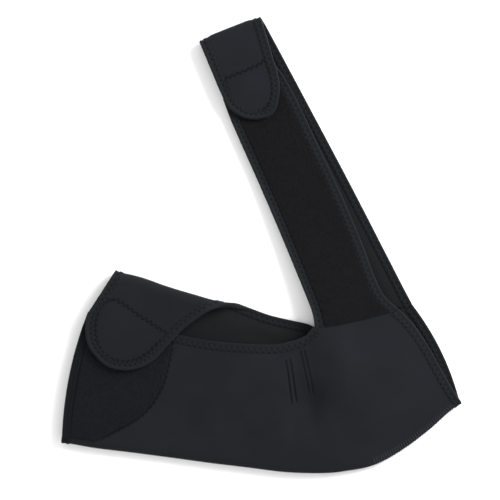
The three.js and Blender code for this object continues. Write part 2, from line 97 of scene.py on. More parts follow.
YARN_FOOT = HALF + SEAT + 0.4 * PILE  # where the loops begin, over the cloth's middle

# Shares of the pouch's length
FLAP_END = 0.43
FLAP_CLIMB = 0.07
NOTCH = 0.7
TAPE_TRIM = 0.006
BARE_FROM = FLAP_END - 1.4 * FLAP_CLIMB
BARE_BY = FLAP_END - 0.6 * FLAP_CLIMB
SPLIT = FLAP_END + FLAP_CLIMB  # where the flap's binding ends and the opening's begins
STRAP_FADE = 0.04
ROLL_AT_END = 0.5
SEAM_EASE = 0.12  # of a strap's length
WRIST_INSET = (TAPE_WIDTH + 2 * SEAT) / ARM_LENGTH

# Stitches
STITCH_PITCH = 5.65  # there and back
THREAD = 0.32  # radius
SEWING_THREAD = 0.42  # radius of the thread in the flaps and patches
OUTER_ROW = 3.2  # the binding's zigzag turns at these distances from the edge
INNER_ROW = 6.8
TAPE_HEM = 0.15  # height of the tape's inner edge over the cloth
TAPE_SKIN = 0.08  # between the tape's own inner face and the cloth
TAPE_SEWN = 0.6  # how far the stitches draw the tape down
TAPE_THIN = 0.35  # how much thinner it is at its inner edge
HOLE_DEPTH = 0.5
DART_THREAD = 0.55
GROOVE_WIDTH = 1.0  # of a dart's crease
YARN = 0.11  # radius of a pile's loop
SUNK_ENDS = np.array([-0.35, 0.14, 0.2, 0.14, -0.35])  # a stitch over the cloth, from hole to hole


def table(names, rows):
    """Named columns of a table, as arrays."""
    return dict(zip(names.split(), np.array(rows, float).T))


# The pouch from wrist to elbow: Y in shares of its depth, the rest in shares of their own sizes
SECTIONS = table("at foot_y front_x front_y back_x back_y fold rim puff front_bow back_bow", [
    [0, 0.246, 0.068, 1.262, 0.134, 1.57, 1, 0, 0, -0.6, -0.4],
    [0.076, 0.202, 0.141, 1.207, 0.194, 1.527, 1, 0, 0, -0.3, -0.2],
    [0.171, 0.165, 0.222, 1.141, 0.262, 1.453, 1, 0, 0, 0, 0],
    [0.272, 0.124, 0.302, 1.066, 0.332, 1.387, 1, 0, 0, 0, 0],
    [0.373, 0.081, 0.385, 1.02, 0.395, 1.332, 1.06, 0.12, 0.2, 0, 0],
    [0.474, 0.043, 0.469, 0.999, 0.458, 1.293, 1.1, 0.3, 0.35, 0, 0],
    [0.549, 0.013, 0.534, 0.996, 0.519, 1.226, 1.12, 0.4, 0.5, 0, 0],
    [0.61, 0.002, 0.574, 1.02, 0.574, 1.184, 1.1, 0.52, 0.62, 0, 0],
    [0.665, 0.002, 0.612, 1.066, 0.615, 1.156, 1.06, 0.66, 0.8, 0, 0],
    [0.7, 0.012, 0.637, 1.145, 0.642, 1.129, 1, 0.8, 0.9, 0, 0],
    [0.781, 0.062, 0.69, 1.179, 0.708, 1.179, 0.85, 1, 1, 0, 0],
    [0.854, 0.184, 0.741, 1.212, 0.766, 1.223, 0.7, 1, 0.9, 0.1, 0.1],
    [0.924, 0.348, 0.791, 1.251, 0.821, 1.265, 0.65, 0.95, 0.7, 0.4, 0.3],
    [0.965, 0.465, 0.816, 1.27, 0.851, 1.288, 0.65, 0.9, 0.5, 0.35, 0.3],
    [1, 0.551, 0.839, 1.285, 0.879, 1.309, 0.65, 0.85, 0.3, 0.55, 0.58],
])
FLAP_EDGE = table("at across reach", [
    [0, 0, 0.51],
    [0.052, 0.032, 0.631],
    [0.109, 0.076, 0.749],
    [0.17, 0.139, 0.858],
    [0.23, 0.213, 0.932],
    [0.29, 0.297, 0.983],
    [0.35, 0.376, 1],
    [0.41, 0.464, 0.981],
    [0.46, 0.534, 0.937],
    [0.51, 0.589, 0.87],
    [0.555, 0.625, 0.775],
    [0.61, 0.648, 0.645],
    [0.66, 0.668, 0.513],
    [0.72, 0.694, 0.375],
    [0.8, 0.757, 0.205],
    [0.855, 0.805, 0.11],
    [0.905, 0.865, 0.045],
    [0.955, 0.935, 0.01],
    [1, 1, 0],
])
FRONT_STRAP_SHAPE = table("at left right fall", [
    [0, -0.545, 0.56, 1],
    [0.04, -0.53, 0.475, 0.95],
    [0.1, -0.515, 0.455, 0.82],
    [0.23, -0.505, 0.479, 0.5],
    [0.42, -0.498, 0.482, 0.2],
    [0.6, -0.503, 0.457, 0],
    [0.77, -0.515, 0.43, 0],
    [0.86, -0.51, 0.4, 0],
    [0.93, -0.47, 0.34, 0],
    [1, -0.3, 0.14, 0],
])
BACK_STRAP_SHAPE = table("at left right", [
    [0, -0.65, 0.665],
    [0.05, -0.48, 0.655],
    [0.12, -0.37, 0.65],
    [0.4, -0.357, 0.635],
    [0.7, -0.357, 0.602],
    [1, -0.355, 0.565],
])
TAB_EDGE = table("at across reach", [
    [0, 0, 0.555],
    [0.09, 0.012, 0.665],
    [0.17, 0.04, 0.755],
    [0.25, 0.105, 0.838],
    [0.33, 0.19, 0.912],
    [0.41, 0.305, 0.964],
    [0.49, 0.44, 0.99],
    [0.57, 0.57, 0.993],
    [0.65, 0.7, 0.947],
    [0.75, 0.8, 0.855],
    [0.86, 0.88, 0.73],
    [1, 0.93, 0.56],
])
PILE_EDGE = table("at across", [[0, 0.243], [0.25, 0.239], [0.5, 0.224], [0.75, 0.179], [1, 0.08]])

# Sewn darts under the front opening: each line's top and foot, and how deep it is drawn in
DART_LINES = table("x_top y_top x_foot y_foot depth", [
    [223.3, 112, 228.3, 70, 2.4],
    [227.4, 113, 233.3, 70.5, 2.6],
    [238.0, 122, 246.5, 80, 0.9],
    [242.0, 122, 251.0, 79, 1.0],
])
# Soft hollows and swells of the front wall: middle, half widths across the pouch and along, height
SWELLS = table("x y across along height", [
    [247, 68, 13, 24, -7.2],
    [231, 60, 9, 30, -2.0],
    [236, 92, 7, 24, -1.4],
    [276, 102, 15, 30, 3.4],
    [308, 62, 26, 30, 2.0],
])


# Curves and surfaces


def smooth(x, low, high):
    """Smooth step: 0 up to low, 1 from high."""
    t = np.clip((x - low) / (high - low), 0, 1)
    return t * t * (3 - 2 * t)


def blend(a, b, share):
    """A straight mix of a and b."""
    return a + (b - a) * share


def column(rows, name, at):
    """A cubic curve through a table's column, with each row's slope taken from its neighbours."""
    x, y = rows["at"], rows[name]
    slope = np.empty_like(y)
    slope[1:-1] = (y[2:] - y[:-2]) / (x[2:] - x[:-2])
    slope[0] = (y[1] - y[0]) / (x[1] - x[0])
    slope[-1] = (y[-1] - y[-2]) / (x[-1] - x[-2])
    k = np.clip(np.searchsorted(x, at) - 1, 0, len(x) - 2)
    span = x[k + 1] - x[k]
    t = np.clip((at - x[k]) / span, 0, 1)
    past = at - np.clip(at, x[0], x[-1])
    bend = span * t * (1 - t) * (slope[k] * (1 - t) - slope[k + 1] * t)
    return blend(y[k], y[k + 1], t * t * (3 - 2 * t)) + bend + past * np.where(past < 0, slope[0], slope[-1])


def heading(lean):
    """The direction that leans so many degrees to the left of +Y."""
    return np.array([-math.sin(math.radians(lean)), math.cos(math.radians(lean))])


def unit(vectors):
    """Vectors of length 1."""
    return vectors / np.maximum(np.linalg.norm(vectors, axis=-1, keepdims=True), 1e-9)


def near_edge(distance):
    """The share by which cloth is lifted for the tape at its edge: 1 by the tape, fading inward."""
    return 1 - smooth(distance, LIFT_FULL, LIFT_GONE)


def pair(a, b):
    """Two numbers or arrays side by side, as points of a plan or as a surface's shares."""
    return np.stack(np.broadcast_arrays(np.asarray(a, float), np.asarray(b, float)), axis=-1)


def any_of(*shares):
    """Shares joined: 1 where any of them is 1, and 0 where all are 0."""
    left = 1
    for share in shares:
        left = left * (1 - share)
    return 1 - left


def with_height(plan, height):
    """Points with X and Y from the plan and their height as Z."""
    return np.concatenate([plan, np.broadcast_to(height, plan.shape[:-1])[..., None]], axis=-1)


def roll_over(fold_point, arrive, leave, base, radius, travel):
    """A sheet that turns over at a fold: half a circle of the radius, then straight back."""
    angle = np.minimum(travel / radius, math.pi)
    inward = np.where((angle < math.pi / 2)[..., None], -arrive, leave)
    plan = fold_point + inward * (radius * (1 - np.sin(angle)))[..., None]
    plan = plan + leave * np.maximum(travel - math.pi * radius, 0)[..., None]
    return with_height(plan, base + radius * (1 - np.cos(angle)))


def travel_to(distance, radius):
    """Travel over a roll at which the sheet has come back by a distance from its fold line."""
    turned = radius * (math.pi - np.arcsin(np.clip(1 - distance / radius, -1, 1)))
    return np.where(distance > radius, (math.pi - 1) * radius + distance, turned)


def bowed(start, end, share, bow):
    """A share of the way along a line that bows to its left by a parabola."""
    way = end - start
    left = unit(pair(-way[..., 1], way[..., 0]))
    return start + way * share[..., None] + left * (4 * bow * share * (1 - share))[..., None]


def section(at):
    """The pouch's key points and sizes at a share of its length."""
    col = {name: column(SECTIONS, name, at) for name in SECTIONS}
    arm = np.array([ARM_LENGTH, ARM_DEPTH])
    foot = pair(at, col["foot_y"]) * arm
    lip = pair(col["front_x"], col["front_y"]) * arm
    back_top = pair(col["back_x"], col["back_y"]) * arm
    ends = any_of(near_edge(at * ARM_LENGTH), near_edge((1 - at) * ARM_LENGTH))
    base = HALF + PROUD * ends
    front_height = EDGE_HEIGHT + 2 * col["fold"] * WRIST_FOLD
    fold = (front_height - base) / 2
    bare = smooth(at, BARE_FROM, BARE_BY) * (1 - smooth(at, NOTCH, NOTCH + STRAP_FADE))
    full_roll = (FLAP_HEIGHT - HALF - PROUD * any_of(ends, bare)) / 2
    roll = full_roll * blend(ROLL_AT_END, 1, smooth(FLAP_END - at, 0, FLAP_END - BARE_FROM))
    roll_angle = (math.pi / 2) * (1 - smooth(at, FLAP_END, FLAP_END + FLAP_CLIMB))
    up = unit(back_top - foot)
    down = unit(foot - lip)
    fold_centre = foot - down * fold[..., None]
    back_end = back_top - up * (roll * np.sin(roll_angle))[..., None]
    return {
        "lip": lip,
        "back_end": back_end,
        "up": up,
        "down": down,
        "fold_centre": fold_centre,
        "base": base,
        "front_height": front_height,
        "fold": fold,
        "ends": ends,
        "bare": bare,
        "roll": roll,
        "roll_angle": roll_angle,
        "back_length": np.linalg.norm(fold_centre - back_end, axis=-1),
        "rim": col["rim"] * RIM_RISE,
        "puff": col["puff"] * PUFF_HEIGHT,
        "front_bow": col["front_bow"] * EDGE_BOW,
        "back_bow": col["back_bow"] * EDGE_BOW,
    }


def groove(x, y, x_top, y_top, x_foot, y_foot, depth):
    """A narrow bell across a straight line from its top to its foot, deepest near the foot."""
    down = (y_top - y) / (y_top - y_foot)
    within = smooth(down, -0.1, 0.5) * (1 - smooth(down, 0.92, 1.06))
    return depth * within * np.exp(-(((x - blend(x_top, x_foot, down)) / GROOVE_WIDTH) ** 2))


def relief(plan):
    """What the darts do to the front wall: narrow grooves along their lines, and soft round swells."""
    x, y = plan[..., 0], plan[..., 1]
    height = np.zeros_like(x)
    for dart in zip(*DART_LINES.values()):
        height = height - groove(x, y, *dart)
    for mid_x, mid_y, across, along, rise in zip(*SWELLS.values()):
        height = height + rise * np.exp(-((x - mid_x) / across) ** 2 - ((y - mid_y) / along) ** 2)
    return height


def pouch(at, along):
    """The pouch's middle surface: 0 to 1 down the front wall, to 2 round the bottom fold, to 3 up
    the back wall, and past 3 over the wrist flap's fold and down the flap. Both walls are straight
    lines from edge to fold that bow by a parabola at the elbow. The front one is also puffed up by a
    parabola, and each fold is half a circle."""
    at, along = np.broadcast_arrays(np.asarray(at, float), np.asarray(along, float))
    s = section(at)
    skew = blend(1, 1.6 - 1.8 * along, smooth(at, 0.4, 0.6))  # the elbow's edge bows near its top
    front = bowed(s["lip"], s["fold_centre"], along, s["front_bow"] * skew)
    inside = 4 * np.clip(along, 0, 1) * (1 - np.clip(along, 0, 1))
    rise = s["rim"] * (1 - smooth(along, 0, 1)) + s["puff"] * inside
    rise = rise + relief(front) * smooth(inside, 0, 0.3)
    front = with_height(front, s["front_height"] + rise)
    angle = math.pi * (along - 1)
    turn = s["fold_centre"] + s["down"] * (s["fold"] * np.sin(angle))[..., None]
    turn = with_height(turn, s["base"] + s["fold"] * (1 + np.cos(angle)))
    travel = (along - 3) * s["back_length"]
    base = HALF + PROUD * any_of(s["ends"], near_edge(-travel) * s["bare"])
    back = with_height(bowed(s["fold_centre"], s["back_end"], along - 2, -s["back_bow"]), base)
    fold_point = s["back_end"] + s["up"] * s["roll"][..., None]
    flap = roll_over(fold_point, s["up"], -heading(-FLAP_LEAN), base, s["roll"], travel)
    share = along[..., None]
    return np.where(share <= 1, front, np.where(share <= 2, turn, np.where(share <= 3, back, flap)))


def pouch_edge(at):
    """The sheet's free edge past the back wall: round the wrist flap, then along the back opening."""
    flap = np.minimum(at / FLAP_END, 1)
    across = np.where(at >= FLAP_END, at, FLAP_END * column(FLAP_EDGE, "across", flap))
    s = section(across)
    reach = FLAP_REACH * np.maximum(column(FLAP_EDGE, "reach", flap), 0)
    travel = np.where(at >= FLAP_END, s["roll"] * s["roll_angle"], travel_to(reach, s["roll"]))
    return pair(across, 3 + travel / s["back_length"])


def front_strap(across, along):
    """The front strap's middle surface, across from its left edge, along from its seam. It runs
    straight at its lean, as wide as its table says, and a square term draws it to the seam."""
    across, along = np.broadcast_arrays(np.asarray(across, float), np.asarray(along, float))
    up = np.append(heading(FRONT_STRAP_LEAN), 0)
    right = np.array([up[1], -up[0], 0])

    def seam(share):
        """The front opening's edge from the notch to the elbow."""
        return pouch(blend(NOTCH, 1, share), np.zeros_like(share))

    def place(share):
        """The straight strap, up from the middle of its seam and out to both sides."""
        left, far = (column(FRONT_STRAP_SHAPE, name, share) for name in ("left", "right"))
        sideways = right * (blend(left, far, across) * STRAP_WIDTH)[..., None]
        return seam(np.array(0.5)) * [1, 1, 0] + up * (share * FRONT_STRAP_LENGTH)[..., None] + sideways

    sewn = seam(across) + up * SEAM_GAP
    near_seam = np.maximum(1 - along / SEAM_EASE, 0)[..., None] ** 2
    point = place(along) + (sewn - place(np.zeros_like(along))) * near_seam
    fall = column(FRONT_STRAP_SHAPE, "fall", along)
    return with_height(point[..., :2], blend(STRAP_TOP, sewn[..., 2], fall))


def back_strap(across, along):
    """The back strap's middle surface, along from its seam to 1 at the top fold, then down the tab.
    It runs straight like the front strap, lifted a little at its taped edges, and rolls over half a
    circle. The fold's line slants, and drops smoothly to its two corners."""
    across, along = np.broadcast_arrays(np.asarray(across, float), np.asarray(along, float))
    up = heading(BACK_STRAP_LEAN)
    right = np.array([up[1], -up[0]])
    left, far = (column(BACK_STRAP_SHAPE, name, along) for name in ("left", "right"))
    side = blend(left, far, across)
    slant = STRAP_WIDTH * math.tan(math.radians(FOLD_LEAN - BACK_STRAP_LEAN))

    def seam(share):
        """The back wall's edge from the notch to the elbow."""
        return pouch(blend(NOTCH, 1, share), np.full_like(share, 3.0))[..., :2]

    def place(share, where):
        """The straight leg up to the fold's slanting line, which drops at its two corners."""
        edges = (1 - smooth(gap, 0, 2 * STRAP_INSET) for gap in (where - left, far - where))
        drop = FOLD_CORNER * any_of(*edges) * smooth(share, 0.9, 1)
        rise = share * (LEG_LENGTH + where * slant - drop)
        return seam(np.array(0.5)) + up * rise[..., None] + right * (where * STRAP_WIDTH)[..., None]

    lift = any_of(
        near_edge((side - left) * STRAP_WIDTH),
        near_edge((far - side) * STRAP_WIDTH),
        near_edge((1 - along) * LEG_LENGTH),
    )
    base = HALF + PROUD * lift
    fold_point = place(np.ones_like(along), side) + up * TAB_ROLL
    radius = np.full_like(along, TAB_ROLL)
    tab = roll_over(fold_point, up, -heading(TAB_LEAN), base, radius, (along - 1) * LEG_LENGTH)
    first = blend(BACK_STRAP_SHAPE["left"][0], BACK_STRAP_SHAPE["right"][0], across)
    near_seam = np.maximum(1 - along / SEAM_EASE, 0)[..., None] ** 2
    sewn = seam(across) + up * SEAM_GAP
    leg = place(along, side) + (sewn - place(np.zeros_like(along), first)) * near_seam
    return np.where(along[..., None] > 1, tab, with_height(leg, base))


def tab_end(at):
    """The tab's round end, from its left edge to its right."""
    travel = travel_to(TAB_REACH * column(TAB_EDGE, "reach", at), TAB_ROLL)
    return pair(column(TAB_EDGE, "across", at), 1 + travel / LEG_LENGTH)


def touch(surface, p, q):
    """A surface's points, its slopes along both shares, and its outward normals."""
    small = 1e-4
    slope_p = (surface(p + small, q) - surface(p - small, q)) / (2 * small)
    slope_q = (surface(p, q + small) - surface(p, q - small)) / (2 * small)
    return surface(p, q), slope_p, slope_q, unit(np.cross(slope_q, slope_p))


def locate(surface, x, y, guess):
    """The shares at which a surface lies at X and Y, by Newton's steps from a first guess."""
    p, q = (np.full(np.shape(x), float(share)) for share in guess)
    for _ in range(NEWTON_STEPS):
        point, slope_p, slope_q, _ = touch(surface, p, q)
        off_x, off_y = x - point[..., 0], y - point[..., 1]
        area = slope_p[..., 0] * slope_q[..., 1] - slope_p[..., 1] * slope_q[..., 0]
        p = p + np.clip((off_x * slope_q[..., 1] - off_y * slope_q[..., 0]) / area, -0.1, 0.1)
        q = q + np.clip((off_y * slope_p[..., 0] - off_x * slope_p[..., 1]) / area, -0.1, 0.1)
    return p, q


# Meshes


def mesh_piece(name, points, faces, material, uv=None):
    """A piece with its place in its mesh, shaded smooth. UV is one pair for each point, in mm."""
    mesh = bpy.data.meshes.new(name)
    points = np.maximum(points, [-np.inf, -np.inf, LOWEST]) - MIDDLE
    mesh.from_pydata((points * MM).tolist(), [], faces if isinstance(faces, list) else faces.tolist())
    if uv is not None:
        corner = np.zeros(len(mesh.loops), np.int32)
        mesh.loops.foreach_get("vertex_index", corner)
        layer = mesh.uv_layers.new(name="Cloth")
        layer.data.foreach_set("uv", uv[corner].astype(np.float32).ravel())
    mesh.shade_smooth()
    mesh.materials.append(material)
    piece = bpy.data.objects.new(name, mesh)
    bpy.context.scene.collection.objects.link(piece)
    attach(piece, "root")
    return piece


def shell(surface, p, q, low, high):
    """The cloth between two distances from a surface, over a grid of its shares, as a closed mesh.
    UV is in mm: across by the first share's run, along by the length of each column."""
    columns, rows = p.shape
    point, _, _, normal = touch(surface, p, q)
    layers = [(point + normal * distance).reshape(-1, 3) for distance in (high, low)]
    index = np.arange(columns * rows).reshape(columns, rows)
    a, b, c, d = index[:-1, :-1], index[:-1, 1:], index[1:, 1:], index[1:, :-1]
    outer = np.stack([a, b, c, d], axis=-1).reshape(-1, 4)
    rim = np.concatenate([index[0, :], index[1:, -1], index[-1, -2::-1], index[-2:0:-1, 0]])
    ahead = np.roll(rim, -1)
    count = columns * rows
    edge = np.stack([ahead, rim, rim + count, ahead + count], axis=-1)
    faces = np.concatenate([outer, outer[:, ::-1] + count, edge])
    run = np.linalg.norm(np.diff(point, axis=1), axis=-1)
    v = np.concatenate([np.zeros((columns, 1)), np.cumsum(run, axis=1)], axis=1)
    across = np.linalg.norm(np.diff(point, axis=0), axis=-1).mean(axis=1)
    uv = pair(np.concatenate([[0], np.cumsum(across)])[:, None], v).reshape(-1, 2)
    return np.concatenate(layers), faces, np.concatenate([uv, uv])


def steps(first, *stretches):
    """Shares from the first to each next stop, each stretch in its own number of even steps."""
    found = [np.array([first])]
    for stop, count in stretches:
        found.append(np.linspace(found[-1][-1], stop, count + 1)[1:])
    return np.concatenate(found)


def lengths(points):
    """How far along its route each point lies."""
    return np.concatenate([[0], np.cumsum(np.linalg.norm(np.diff(points, axis=0), axis=1))])


def at_length(s, known, rows):
    """Rows of numbers at lengths s, straight between the known lengths."""
    return np.stack([np.interp(s, known, part) for part in rows.T], axis=-1)


def way_in(surface, shares, before, after, cloth_side):
    """At stops on an edge: the direction into the cloth, square to the edge and to the normal, and the
    shares' change for each mm of it, from the two slopes' least squares."""
    _, slope_p, slope_q, normal = touch(surface, shares[:, 0], shares[:, 1])
    run = surface(after[:, 0], after[:, 1]) - surface(before[:, 0], before[:, 1])
    inward = unit(np.cross(normal, run)) * cloth_side
    both = ((slope_p, slope_p), (slope_p, slope_q), (slope_q, slope_q), (slope_p, inward), (slope_q, inward))
    pp, pq, qq, pi, qi = ((a * b).sum(axis=-1) for a, b in both)
    scale = 1 / (pp * qq - pq * pq)
    return inward, pair((qq * pi - pq * qi) * scale, (pp * qi - pq * pi) * scale)


def inside_edge(surface, edge, at, reach):
    """The shares a reach inside a free edge."""
    small = 0.002
    shares = edge(at)
    before, after = edge(np.maximum(at - small, 0)), edge(np.minimum(at + small, 1))
    return shares + way_in(surface, shares, before, after, 1)[1] * reach


class Walk:
    """A route along an edge in even steps of its length, that knows the way into the cloth."""

    def __init__(self, surface, shares, cloth_side, step=STITCH_PITCH / 5):
        """Even steps through the shares, with the way in smoothed twice over its neighbours."""
        between = np.linspace(0, 1, 13)[:-1, None]
        fine = [blend(a, b, between) for a, b in zip(shares, shares[1:])]
        shares = np.concatenate(fine + [shares[-1:]])
        known = lengths(surface(shares[:, 0], shares[:, 1]))
        self.surface = surface
        self.length = known[-1]
        self.s = np.linspace(0, self.length, max(int(self.length / step), 4) + 1)
        self.shares = at_length(self.s, known, shares)
        before = np.concatenate([self.shares[:1], self.shares[:-1]])
        after = np.concatenate([self.shares[1:], self.shares[-1:]])
        inward, change = way_in(surface, self.shares, before, after, cloth_side)
        for _ in range(2):
            inward, change = (
                np.concatenate([v[:1], (v[:-2] + 2 * v[1:-1] + v[2:]) / 4, v[-1:]]) for v in (inward, change)
            )
        self.inward, self.change = unit(inward), change
        self.cloth_side = cloth_side

    def at(self, s, reach, height):
        """Points at lengths s along the edge, a reach inside it, at a height over the middle surface,
        and the normals there. A height below zero is on the inner face."""
        shares, change, inward = (at_length(s, self.s, v) for v in (self.shares, self.change, self.inward))
        shares = shares + change * np.maximum(reach, 0)[..., None]
        point, _, _, normal = touch(self.surface, shares[..., 0], shares[..., 1])
        out = inward * np.minimum(reach, 0)[..., None]
        return point + out + normal * height[..., None], normal * np.sign(height)[..., None]


def tape_height(reach, s):
    """The tape's face over the sheet's middle: plump at its rolled edge, lower where it is sewn down,
    drawn in at each needle hole, and thin at its inner edge."""
    turn = 2 * math.pi * s / STITCH_PITCH
    outer = (0.5 + 0.5 * np.cos(turn)) ** 2 * np.exp(-(((reach - OUTER_ROW) / 0.9) ** 2))
    inner = (0.5 - 0.5 * np.cos(turn)) ** 2 * np.exp(-(((reach - INNER_ROW) / 0.7) ** 2))
    sewn = TAPE_SEWN * smooth(reach, -0.2, 1.8)
    thin = TAPE_THIN * smooth(reach, TAPE_WIDTH - 1.0, TAPE_WIDTH + 0.2)
    return HALF + PROUD - HOLE_DEPTH * (outer + inner) - sewn - thin


def tape(name, walk, material):
    """Binding tape folded over an edge: a profile of reach and height carried along the walk, closed at
    both ends. It runs over the upper face, round a nose of half a circle past the edge, back under the
    lower face, and along the cloth to where it began."""
    face = TAPE_WIDTH - np.array([0, 0.05, 0.4, 0.8, 1.3, 2.0, 2.8, 3.5, 4.2, 4.9, 5.7, 6.6])
    turn = np.linspace(0, math.pi, 11)
    nose_reach = -(PROUD + SEAT / 2) * np.sin(turn)
    inner = np.array([TAPE_WIDTH, 4.0, 0])
    reach = np.concatenate([face, nose_reach, face[::-1], inner, [-0.3], inner[::-1]])
    s = walk.s[:, None]
    over = tape_height(np.maximum(reach, 0)[None, :], s)
    over[:, 0] = HALF + TAPE_HEM
    top, nose = len(face), len(turn)
    over[:, top:top + nose] = (HALF + PROUD) * np.cos(turn)
    over[:, top + nose:2 * top + nose] *= -1
    over[:, 2 * top + nose - 1] = -HALF - TAPE_HEM
    skin = HALF + TAPE_SKIN
    over[:, 2 * top + nose:] = [-skin, -skin, -skin, 0, skin, skin, skin]
    place = pair(s, reach)
    points, _ = walk.at(place[..., 0], place[..., 1], over)
    stations, ring = over.shape
    index = np.arange(stations * ring).reshape(stations, ring)
    ahead = np.roll(index, -1, axis=1)
    sides = np.stack([index[:-1], ahead[:-1], ahead[1:], index[1:]], axis=-1).reshape(-1, 4)
    faces = sides.tolist() + [index[0, ::-1].tolist(), index[-1].tolist()]
    if walk.cloth_side < 0:
        faces = [corner[::-1] for corner in faces]
    return mesh_piece(name, points.reshape(-1, 3), faces, material, place.reshape(-1, 2))


def threads(name, paths, normals, radius, material, sides=5, taper=0.45):
    """Short lengths of thread: a round section carried along each path, thinner at its ends."""
    count, points, _ = paths.shape
    along = unit(np.gradient(paths, axis=1))
    side = unit(np.cross(along, normals))
    over = np.cross(side, along)
    turn = 2 * math.pi * np.arange(sides) / sides
    thick = np.full(points, radius)
    thick[[0, -1]] *= taper
    ring = side[:, :, None] * np.cos(turn)[:, None] + over[:, :, None] * np.sin(turn)[:, None]
    vertices = paths[:, :, None] + ring * thick[:, None, None]
    index = np.arange(count * points * sides).reshape(count, points, sides)
    ahead = np.roll(index, -1, axis=2)
    walls = np.stack([index[:, :-1], index[:, 1:], ahead[:, 1:], ahead[:, :-1]], axis=-1).reshape(-1, 4)
    caps = index[:, 0].tolist() + index[:, -1, ::-1].tolist()
    return mesh_piece(name, vertices.reshape(-1, 3), walls.tolist() + caps, material)


def tape_stitches(name, walk, material):
    """The binding's zigzag on both faces: legs from a hole in the outer row to the next in the inner
    row and back, each sunk at its ends."""
    holes = np.arange(0, walk.length - STITCH_PITCH / 2, STITCH_PITCH / 2)
    share = np.linspace(0, 1, 5)
    s = holes[:, None] + share * STITCH_PITCH / 2
    inward = (np.arange(len(holes)) % 2 == 0)[:, None]
    reach = blend(OUTER_ROW, INNER_ROW, np.where(inward, share, 1 - share))
    found = [walk.at(s, reach, face * (tape_height(reach, s) + 0.8 * SUNK_ENDS)) for face in (1, -1)]
    paths, normals = (np.concatenate(both) for both in zip(*found))
    return threads(name, paths, normals, THREAD, material, sides=4)


def sewn_line(surface, line, guess, pitch, width, height):
    """Stitches along a line of X and Y on a surface: dashes for a width of 0, or else a zigzag of
    that width. Returns the threads' paths and normals."""
    line = np.array(line, float)
    known = lengths(line)
    count = max(int(known[-1] / pitch), 1)
    s = np.arange(count)[:, None] * pitch + np.linspace(0, pitch * (1.0 if width else 0.72), 5)
    near = at_length(s + 0.5, known, line) - at_length(s - 0.5, known, line)
    left = unit(pair(-near[..., 1], near[..., 0]))
    swing = np.linspace(-0.5, 0.5, 5) * width * np.where(np.arange(count) % 2, -1, 1)[:, None]
    at = at_length(s, known, line) + left * swing[..., None]
    p, q = locate(surface, at[..., 0], at[..., 1], guess)
    point, _, _, normal = touch(surface, p, q)
    return point + normal * (height + SUNK_ENDS)[:, None], normal


# Materials

HOLE_AND_CREASE_SHADE = "#050506"  # painted shade: the near black that stands in for the shade in a needle hole or a closed crease

# How many grains of each pattern lie in a millimetre. Real fibres are 0.02 mm thick, and their grain
# is drawn 0.4 to 1.1 mm wide, so that it shows.
SLOW_PATCHES = 0.03  # 33 mm wide
JERSEY_FUZZ = 1.4
TAPE_FUZZ = 1.6
TUFTS = 0.62  # 1.6 mm wide
PILE_MAT = 0.9
TWIST = 2.5


def colour(code):
    """An sRGB hex colour as linear red, green, blue and alpha."""
    parts = [int(code[k:k + 2], 16) / 255 for k in (1, 3, 5)]
    return [c / 12.92 if c <= 0.04045 else ((c + 0.055) / 1.055) ** 2.4 for c in parts] + [1]


def add(tree, kind, sockets=None, **settings):
    """Adds a node with its own settings. A socket takes a value, a node's first output or an output."""
    made = tree.nodes.new("ShaderNode" + kind)
    for name, value in settings.items():
        setattr(made, name, value)
    for name, value in (sockets or {}).items():
        value = value.outputs[0] if isinstance(value, bpy.types.Node) else value
        if isinstance(value, bpy.types.NodeSocket):
            tree.links.new(value, made.inputs[name])
        else:
            made.inputs[name].default_value = value
    return made


def cloth_material(
    name, dark, light, roughness, sheen, pattern, bump, patchy=0.5, gloss=0.1, shaded_dips=None, inner=None
):
    """A cloth: two close colours mixed by slow patches and the pattern's own height, with the height
    as bump, in mm. The pattern is a function that adds nodes and returns one whose first output is a
    height from 0 to 1. Shaded dips is one for a share from 0 to 1 by which the cloth is sunk in as bump
    and painted nearly black, as painted shade in a needle hole or a crease. Inner is the colour of its
    lining, where the mesh says that it is the inner face."""
    made = bpy.data.materials.new(name)
    made.use_nodes = True
    tree = made.node_tree
    tree.nodes.clear()
    place = add(tree, "TexCoord")
    height = pattern(tree, place)
    spot = place.outputs["Object"]
    patches = add(tree, "TexNoise", {"Vector": spot, "Scale": SLOW_PATCHES / MM, "Detail": 3.0})
    share = add(tree, "Mix", {0: patchy, 2: height, 3: patches}, data_type="FLOAT")
    ramp = add(tree, "MapRange", {0: share, 1: 0.2, 2: 0.8})
    mixed = add(tree, "Mix", {0: ramp, 6: colour(dark), 7: colour(light)}, data_type="RGBA")
    if inner:
        lining = add(tree, "Attribute", attribute_name="Lining").outputs["Fac"]
        mixed = add(tree, "Mix", {0: lining, 6: mixed.outputs[2], 7: colour(inner)}, data_type="RGBA")
    # Painted shade: each dip is sunk in as bump, and its colour is mixed to near black to stand in for the
    # shade in a needle hole or a crease.
    if shaded_dips:
        dip_and_shade = shaded_dips(tree, place)
        height = add(tree, "Math", {0: height, 1: dip_and_shade}, operation="SUBTRACT")
        mixed = add(tree, "Mix", {0: dip_and_shade, 6: mixed.outputs[2], 7: colour(HOLE_AND_CREASE_SHADE)}, data_type="RGBA")
    raised = add(tree, "Bump", {"Height": height, "Distance": bump * MM, "Strength": 1.0})
    shader = add(
        tree,
        "BsdfPrincipled",
        {
            "Base Color": mixed.outputs[2],
            "Roughness": roughness,
            "Normal": raised,
            "Specular IOR Level": gloss,
            "Sheen Weight": sheen,
            "Sheen Roughness": 0.3,
            "Sheen Tint": colour("#c4c8d2"),
        },
    )
    add(tree, "OutputMaterial", {"Surface": shader})
    return made


